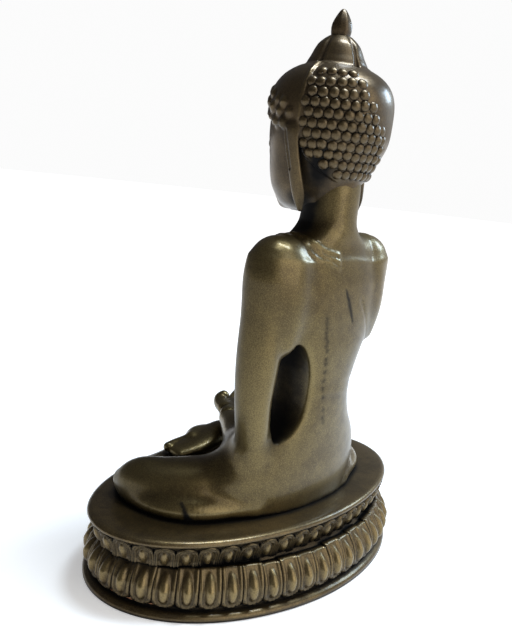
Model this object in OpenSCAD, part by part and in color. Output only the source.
// Seated bronze Buddha on an oval double-lotus pedestal, about 200 mm tall.
// The figure faces -Y, its left hand is towards +X, and the foot ring stands on Z = 0.
// Millimetres throughout.  The origin is the middle of the footprint.

/* [Pedestal] */
// Width of the foot ring, left to right
base_w = 140; // [136:1:150]
// Depth of the foot ring, front to back
base_d = 92; // [90:1:98]
// Width of the deck
deck_w = 143; // [140:1:146]
// Depth of the deck
deck_d = 83; // [82:1:88]
// Height of the deck on which the figure sits
deck_z = 27; // [26:1:30]
// Thickness of the cast walls
wall = 3.2; // [2.6:0.1:3.6]
// Thickness of the sheet that closes the underside
plate_t = 1; // [0.8:0.1:1.4]

/* [Figure] */
// Half the distance between the shoulder joints
shoulder_x = 28.5; // [28:0.5:30]
// Height of the shoulder joints
shoulder_z = 114; // [113:0.5:115]
// Half the span of the knees
knee_x = 47; // [46:0.5:49]
// Radius of the spigot on which the head is fitted
spigot_r = 5.4; // [5:0.1:5.6]

/* [Head] */
// Half the width of the hair at the temples
head_a = 19.8; // [19:0.1:20.4]
// Half the depth of the head
head_b = 21.5; // [21:0.1:22.5]
// Height of the middle of the head
head_z = 162; // [161:0.5:163]
// Total height to the tip of the jewel
total_h = 198.5; // [198:0.5:202]

/* [Fixings] */
// Diameter of the pins at the neck and wrists
pin_d = 2.4; // [2:0.1:2.6]
// Diameter of the rivets between the figure and the deck
rivet_d = 4; // [3.5:0.1:4.5]

/* [Hidden] */
$fn = 96;

bronze = "#6b5a36";
bronze_light = "#7d6c44";
bronze_dark = "#4a3c24";
copper = "#a5623a";
wood = "#8a6238";
paper = "#d9cba3";
thread = "#9c2f2f";

base_r = base_w / 2;
deck_r = deck_w / 2;
foot_oval = base_d / base_w;     // how much each half of the pedestal is squeezed
deck_oval = deck_d / deck_w;     // front to back
waist_z = 17.5;                  // where the two rows of petals meet
cavity_oval = 0.62;
rebate_z = 3;                    // underside of the closing sheet, up inside the foot ring
head_y = 17;                     // the middle of the head, front to back
neck_y = 21.3;                   // the middle of the neck
neck_z = 129;                    // shoulder of the neck spigot, where the head's neck begins
spigot_top = 141;
neck_pin_z = 135;
jewel_z = total_h - 10.5;        // seat of the jewel on top of the dome
tenon_r = 1.9;
sides = 24;

// ---- smooth lofts -------------------------------------------------------------------
// A station is [x, y, z, half width, half depth].  Points between stations are worked
// out on a Catmull-Rom curve.
function between(a, b, c, d, t) =
    0.5 * ((2 * b) + (c - a) * t + (2 * a - 5 * b + 4 * c - d) * t * t
           + (3 * b - a - 3 * c + d) * t * t * t);
function at(s, i) = s[max(0, min(len(s) - 1, i))];
function smooth(s, n) = [
    for (i = [0:len(s) - 2]) for (j = [0:n - 1])
        between(at(s, i - 1), s[i], s[i + 1], at(s, i + 2), j / n),
    s[len(s) - 1]];
function place(s) = [s[0], s[1], s[2]];
function unit(v) = v / norm(v);
function heading(s, i) = unit(place(at(s, i + 1)) - place(at(s, i - 1)));

// The ring of points round station i: "side" is the direction of its half width.
// Squareness 2 is an ellipse, and more than 2 fills the corners out.
function squared(c, q) = sign(c) * pow(abs(c), 2 / q);
function ring(s, i, side, n, q) =
    let (t = heading(s, i), u = unit(side - (side * t) * t), v = cross(t, u))
    [for (k = [0:n - 1]) place(s[i]) + s[i][3] * squared(cos(360 * k / n), q) * u
                                     + s[i][4] * squared(sin(360 * k / n), q) * v];

module loft(stations, side = [1, 0, 0], steps = 3, n = sides, q = 2) {
    s = smooth(stations, steps);
    m = len(s);
    points = [for (i = [0:m - 1]) each ring(s, i, side, n, q)];
    skin = [for (i = [0:m - 2]) for (k = [0:n - 1])
                let (a = i * n + k, b = i * n + (k + 1) % n)
                each [[a, a + n, b], [b, a + n, b + n]]];
    first = [for (k = [0:n - 1]) k];
    last = [for (k = [n - 1:-1:0]) (m - 1) * n + k];
    polyhedron(points, concat(skin, [first, last]), convexity = 8);
}

// A size of nought keeps every size as it is: the parts inside come out as one cast skin.
module one_casting() resize([0, 0, 0]) union() children();

module mirrored() {
    children();
    mirror([1, 0, 0]) children();
}

// ---- pedestal -----------------------------------------------------------------------
// Outline of half the pedestal from the axis outwards: foot ring, flange, lower petals,
// waist, upper petals and the rounded edge of the deck.
foot_outline = [
    [0, -1], [base_r, -1], [base_r, 3], [base_r - 1.5, 4.6], [base_r - 0.2, 8],
    [base_r - 1, 12.5], [base_r - 3.5, 15.6], [base_r - 6, waist_z], [0, waist_z]];
deck_outline = [
    [0, waist_z - 1], [deck_r - 7, waist_z - 1], [deck_r - 6.5, waist_z + 1], [deck_r - 3, 22],
    [deck_r - 0.8, deck_z - 3.2], [deck_r, deck_z - 1.7], [deck_r - 0.7, deck_z - 0.4],
    [deck_r - 2.2, deck_z], [0, deck_z]];
cavity_outline = [
    [0, -2], [base_r - wall, -2], [base_r - wall, rebate_z + plate_t],
    [base_r - wall - 2, rebate_z + plate_t], [base_r - wall - 2, 11],
    [base_r - wall - 11, 15.5], [base_r - wall - 11, deck_z - wall - 2],
    [base_r - wall - 14, deck_z - wall], [0, deck_z - wall]];
hatch_y = 12;                    // the round opening in the deck, under the hollow of the trunk
hatch_r = 13;
rivets = [[-34, 2], [34, 2], [-20, -18], [20, -18]];

module pedestal() color(bronze) difference() {
    union() {
        scale([1, foot_oval, 1]) rotate_extrude() polygon(foot_outline);
        scale([1, deck_oval, 1]) rotate_extrude() polygon(deck_outline);
    }
    scale([1, cavity_oval, 1]) rotate_extrude() polygon(cavity_outline);
    translate([-base_w, -base_w, -10]) cube([2 * base_w, 2 * base_w, 10]);
    translate([0, hatch_y, 0]) cylinder(h = deck_z + 5, r = hatch_r);
    for (p = rivets) translate([p[0], p[1], 0]) cylinder(h = deck_z + 5, d = rivet_d);
}

// ---- figure -------------------------------------------------------------------------
trunk_squareness = 2.4;
trunk = [
    [0, 13, deck_z, 34.5, 16.5], [0, 15, 40, 34, 16], [0, 17, 50, 30.5, 14.5],
    [0, 20, 61, 21, 12.3], [0, 21.2, 71, 17.6, 11.5], [0, 21.4, 84, 20.5, 11.8],
    [0, 21.2, 97, 26, 12], [0, 21, 108, 27.5, 11], [0, 21, 115, 26, 9.5],
    [0, 21, 121.5, 17, 9], [0, neck_y, neck_z, 9.6, 9.6], [0, neck_y, neck_z + 1, 9.5, 9.5]];
trunk_core = [
    [0, 13, deck_z - 6, 29, 12.5], [0, 15, 40, 28, 12], [0, 17, 50, 24, 10.5],
    [0, 20, 61, 17, 8.4], [0, 21.2, 71, 14.5, 8], [0, 21.4, 84, 17, 8.2],
    [0, 21.2, 97, 21, 8.4], [0, 21, 106, 20, 6.5], [0, 21, 111.5, 10, 3]];
left_arm = [
    [20, 21, shoulder_z + 3.5, 5, 6], [shoulder_x - 1, 21.4, shoulder_z, 7.5, 7.5],
    [shoulder_x, 22, 100, 7.8, 7.8], [shoulder_x + 1, 22.4, 85, 7, 7.6],
    [shoulder_x + 1.3, 22.4, 70, 5.8, 6.6], [shoulder_x - 1, 21.5, 58, 5.6, 6.2],
    [shoulder_x - 3.5, 20, 49, 5.6, 6]];
right_arm = [
    [-21, 21, shoulder_z + 3.5, 5, 6], [-shoulder_x, 21.4, shoulder_z, 7.5, 7.5],
    [-shoulder_x - 1.5, 17, 102, 7.5, 7.5], [-shoulder_x - 2.5, 13, 89, 7, 7.2],
    [-shoulder_x - 4, 9.2, 75, 6.4, 6.6], [-shoulder_x - 6, 4.6, 64, 6, 6.2],
    [-37.5, -4, 56.5, 5.6, 5.6], [-40.5, -13, 52, 4.9, 4.6], [-41.5, -17, 50.5, 4.6, 4]];
left_forearm = [
    [shoulder_x - 3.5, 21, 50, 5, 6], [22, 13.5, 47.5, 6, 6], [16, 5, 47.5, 5.6, 5.4],
    [11, -2.5, 49, 5, 4.8], [8.5, -6, 49.6, 4.8, 4]];
function thigh(s) = [
    [s * 10, 15, 36, 9, 10], [s * 28, 9, 35.5, 8.6, 11], [s * (knee_x - 5), -1, 35, 7.8, 10],
    [s * (knee_x + 1), -9, 34.5, 7.2, 8.4], [s * (knee_x + 4), -15, 33, 4, 4.5]];
function shin(s, lift) = [
    [s * (knee_x + 3), -12, 32.5, 4, 4], [s * (knee_x - 3), -18, 32.5, 5.4, 6.4],
    [s * 29, -20.5, 32 + lift, 5.4, 6.6], [s * 10, -23, 33 + lift, 5.6, 6.4],
    [s * -9, -21, 36 + lift, 5, 5.4], [s * -17, -18, 38 + lift, 3, 3]];
function foot(s) = [
    [s * 8, -19, 39.5, 3, 4], [s * -2, -17, 42, 4, 5.6], [s * -12, -14.5, 41.5, 3.6, 6.4],
    [s * -22, -14.5, 40.5, 3, 6.4], [s * -30, -15.5, 39.5, 2, 5]];
wrists = [left_forearm, right_arm];

// Points the bore or tenon of a wrist along the last stretch of its forearm.
module at_wrist(arm) {
    tip = place(arm[len(arm) - 1]);
    d = unit(tip - place(arm[len(arm) - 2]));
    translate(tip) rotate([0, acos(d[2]), atan2(d[1], d[0])]) children();
}

wrist_bore_r = 1.6;
wrist_bore_l = 7;
wrist_reach = 6.5;               // how far a wrist pin stands out of the forearm

module figure_skin() one_casting() {
    difference() {
        union() {
            loft(trunk, n = 32, q = trunk_squareness);
            loft(left_arm, n = 16);
            loft(right_arm, n = 16);
            loft(left_forearm, n = 16);
            for (s = [-1, 1]) {
                loft(thigh(s), side = [0, 0, 1]);
                loft(foot(s), side = [0, 0, 1], n = 16);
            }
            loft(shin(1, 0), side = [0, 0, 1]);
            loft(shin(-1, 1), side = [0, 0, 1]);
        }
        loft(trunk_core, n = 24, q = trunk_squareness);
        translate([-90, -90, deck_z - 60]) cube([180, 180, 60]);
        translate([-90, -90, neck_z]) cube([180, 180, 60]);
    }
}

module figure() color(bronze_light) difference() {
    union() {
        figure_skin();
        translate([0, neck_y, neck_z - 5]) cylinder(h = spigot_top - neck_z + 5, r = spigot_r);
    }
    for (p = rivets) translate([p[0], p[1], deck_z - 1]) cylinder(h = rivet_bite + 1, d = rivet_d);
    translate([0, neck_y, neck_pin_z]) rotate([0, 90, 0]) cylinder(h = 40, d = pin_d, center = true);
    for (w = wrists) at_wrist(w) translate([0, 0, -wrist_bore_l])
        cylinder(h = wrist_bore_l + wrist_reach, r = wrist_bore_r);
    for (back = [true, false]) core_hole(back);
}

rivet_bite = 7;

// ---- head ---------------------------------------------------------------------------
skull = [
    [0, 10, 131.5, 6, 6], [0, 11, 135, 10.5, 11], [0, 13.5, 142, 14.5, 15.5],
    [0, 15.5, 150, 17, 18], [0, 16.6, 157, 19.2, 20], [0, head_y, head_z + 4, head_a, head_b - 1],
    [0, head_y, 172, 18.6, 20], [0, head_y, 178, 14.5, 15.5], [0, head_y, 181, 9.5, 9.8]];
neck = [[0, neck_y, neck_z - 1, 9.5, 9.5], [0, neck_y, 136, 9, 9.2], [0, neck_y, 145, 9.4, 9.2]];
dome = [[0, head_y, 178, 10.8, 10.8], [0, head_y, 182.5, 9.8, 9.8], [0, head_y, 186, 8.2, 8.2],
        [0, head_y, jewel_z, 4.6, 4.6]];
function ear(s) = [
    [s * 14.5, 19.5, 133.5, 1.6, 2.4], [s * 16.5, 19, 141, 1.8, 2.8], [s * 18.5, 17.5, 150, 2, 3.2],
    [s * 19.5, 15.5, 158.5, 1.6, 2.8]];

module head() color(bronze_light) difference() {
    one_casting() difference() {
        union() {
            loft(skull, n = 32);
            loft(neck);
            loft(dome);
            for (s = [-1, 1]) loft(ear(s), n = 12, steps = 2);
            translate([0, head_y - head_b + 2.4, 152]) rotate([15, 0, 0])
                scale([1, 1, 2.4]) sphere(r = 3, $fn = 16);
        }
        translate([-90, -90, neck_z - 60]) cube([180, 180, 60]);
    }
    translate([0, neck_y, neck_z - 1]) cylinder(h = spigot_top - neck_z + 1, r = spigot_r);
    translate([0, neck_y, neck_pin_z]) rotate([0, 90, 0])
        cylinder(h = 40, d = pin_d, center = true);
    translate([0, head_y, jewel_z - 6]) cylinder(h = 10, r = tenon_r);
}

// The lotus-bud jewel that closes the top of the head, with its round tenon.
module finial() color(bronze_dark) translate([0, head_y, jewel_z]) {
    rotate_extrude() polygon([
        [0, 0], [3.2, 0], [3.7, 1], [3.2, 2], [3.4, 3.2], [3.6, 4.4], [3, 6.2], [1.8, 8],
        [1, 9.4], [0.4, 10.3], [0, 10.5]]);
    translate([0, 0, -6]) cylinder(h = 6.2, r = tenon_r);
}

// ---- hands --------------------------------------------------------------------------
// A hand lies on its own XY plane with the wrist at the origin and the fingers along +X.
module finger(from, to, r) hull() {
    translate(from) sphere(r = r, $fn = 16);
    translate(to) sphere(r = r * 0.85, $fn = 16);
}

module hand_shape() one_casting() {
    hull() {
        translate([2, 0, 0]) sphere(r = 4.2, $fn = 20);
        for (y = [-4.5, 4.5]) translate([13, y, 0]) sphere(r = 3.2, $fn = 20);
    }
    for (i = [0:3]) finger([13, 5 - 3.4 * i, 0], [26 - abs(i - 1.4) * 1.6, 5 - 3.3 * i, 0], 1.9);
    finger([5, 5, 0], [15, 9.5, 1.5], 2.1);
}

module at_left_hand() translate([6.9, -9.3, 50.4]) rotate([0, 0, 205]) children();
module at_right_hand() translate([-41.8, -19.5, 49.5]) rotate([0, 52, 262]) children();

module left_hand() color(bronze_light) difference() {
    at_left_hand() hand_shape();
    at_wrist(left_forearm) cylinder(h = wrist_reach, r = wrist_bore_r);
}
module right_hand() color(bronze_light) difference() {
    at_right_hand() hand_shape();
    at_wrist(right_arm) cylinder(h = wrist_reach, r = wrist_bore_r);
}

// ---- fixings ------------------------------------------------------------------------
module neck_pin() color(bronze_dark)
    translate([0, neck_y, neck_pin_z]) rotate([0, 90, 0]) cylinder(h = 17, d = pin_d, center = true);

module wrist_pins() color(bronze_dark)
    for (w = wrists) at_wrist(w) translate([0, 0, -wrist_bore_l])
        cylinder(h = wrist_bore_l + wrist_reach, r = wrist_bore_r);

// Peened under the deck, and a tight fit in the figure above it.
module seat_rivets() color(bronze_dark) for (p = rivets) translate([p[0], p[1], 0]) {
    translate([0, 0, deck_z - wall]) cylinder(h = wall + rivet_bite, d = rivet_d);
    translate([0, 0, deck_z - wall - 1.6]) cylinder(h = 1.6, d1 = rivet_d, d2 = rivet_d + 2.6);
}

// Plugs that close the holes left by the pins which held the casting core.
plug_y = [33, 9.8];              // where the plugs are dressed flush, at the back and the front
plug_l = 3;
module core_hole(back) translate([0, 21, 90]) rotate([back ? -90 : 90, 0, 0])
    cylinder(h = 25, d = 3);
module core_plugs() color(bronze_dark) {
    translate([0, plug_y[0] - plug_l, 90]) rotate([-90, 0, 0]) cylinder(h = plug_l, d = 3);
    translate([0, plug_y[1] + plug_l, 90]) rotate([90, 0, 0]) cylinder(h = plug_l, d = 3);
}

// ---- what the pedestal holds --------------------------------------------------------
module base_plate() color(copper) translate([0, 0, rebate_z])
    scale([1, cavity_oval, 1]) cylinder(h = plate_t, r = base_r - wall);

pole_y = 18;
module life_pole() color(wood) translate([0, pole_y, rebate_z + plate_t])
    linear_extrude(height = 84, scale = 0.35) square(9, center = true);

roll_d = 7;
roll_l = 17;
rolls = [for (i = [0:7]) [30 * cos(22.5 + 45 * i), 22 * sin(22.5 + 45 * i) - 1]];
module mantra_rolls() color(paper) for (p = rolls)
    translate([p[0], p[1], rebate_z + plate_t]) difference() {
        cylinder(h = roll_l, d = roll_d);
        translate([0, 0, -1]) cylinder(h = roll_l + 2, d = 1.6);
    }

module roll_ties() color(thread) for (p = rolls)
    translate([p[0], p[1], rebate_z + plate_t + roll_l / 2]) difference() {
        cylinder(h = 1.2, d = roll_d + 1, center = true);
        cylinder(h = 2, d = roll_d, center = true);
    }

pedestal();
figure();
head();
finial();
left_hand();
right_hand();
neck_pin();
wrist_pins();
seat_rivets();
core_plugs();
base_plate();
life_pole();
mantra_rolls();
roll_ties();
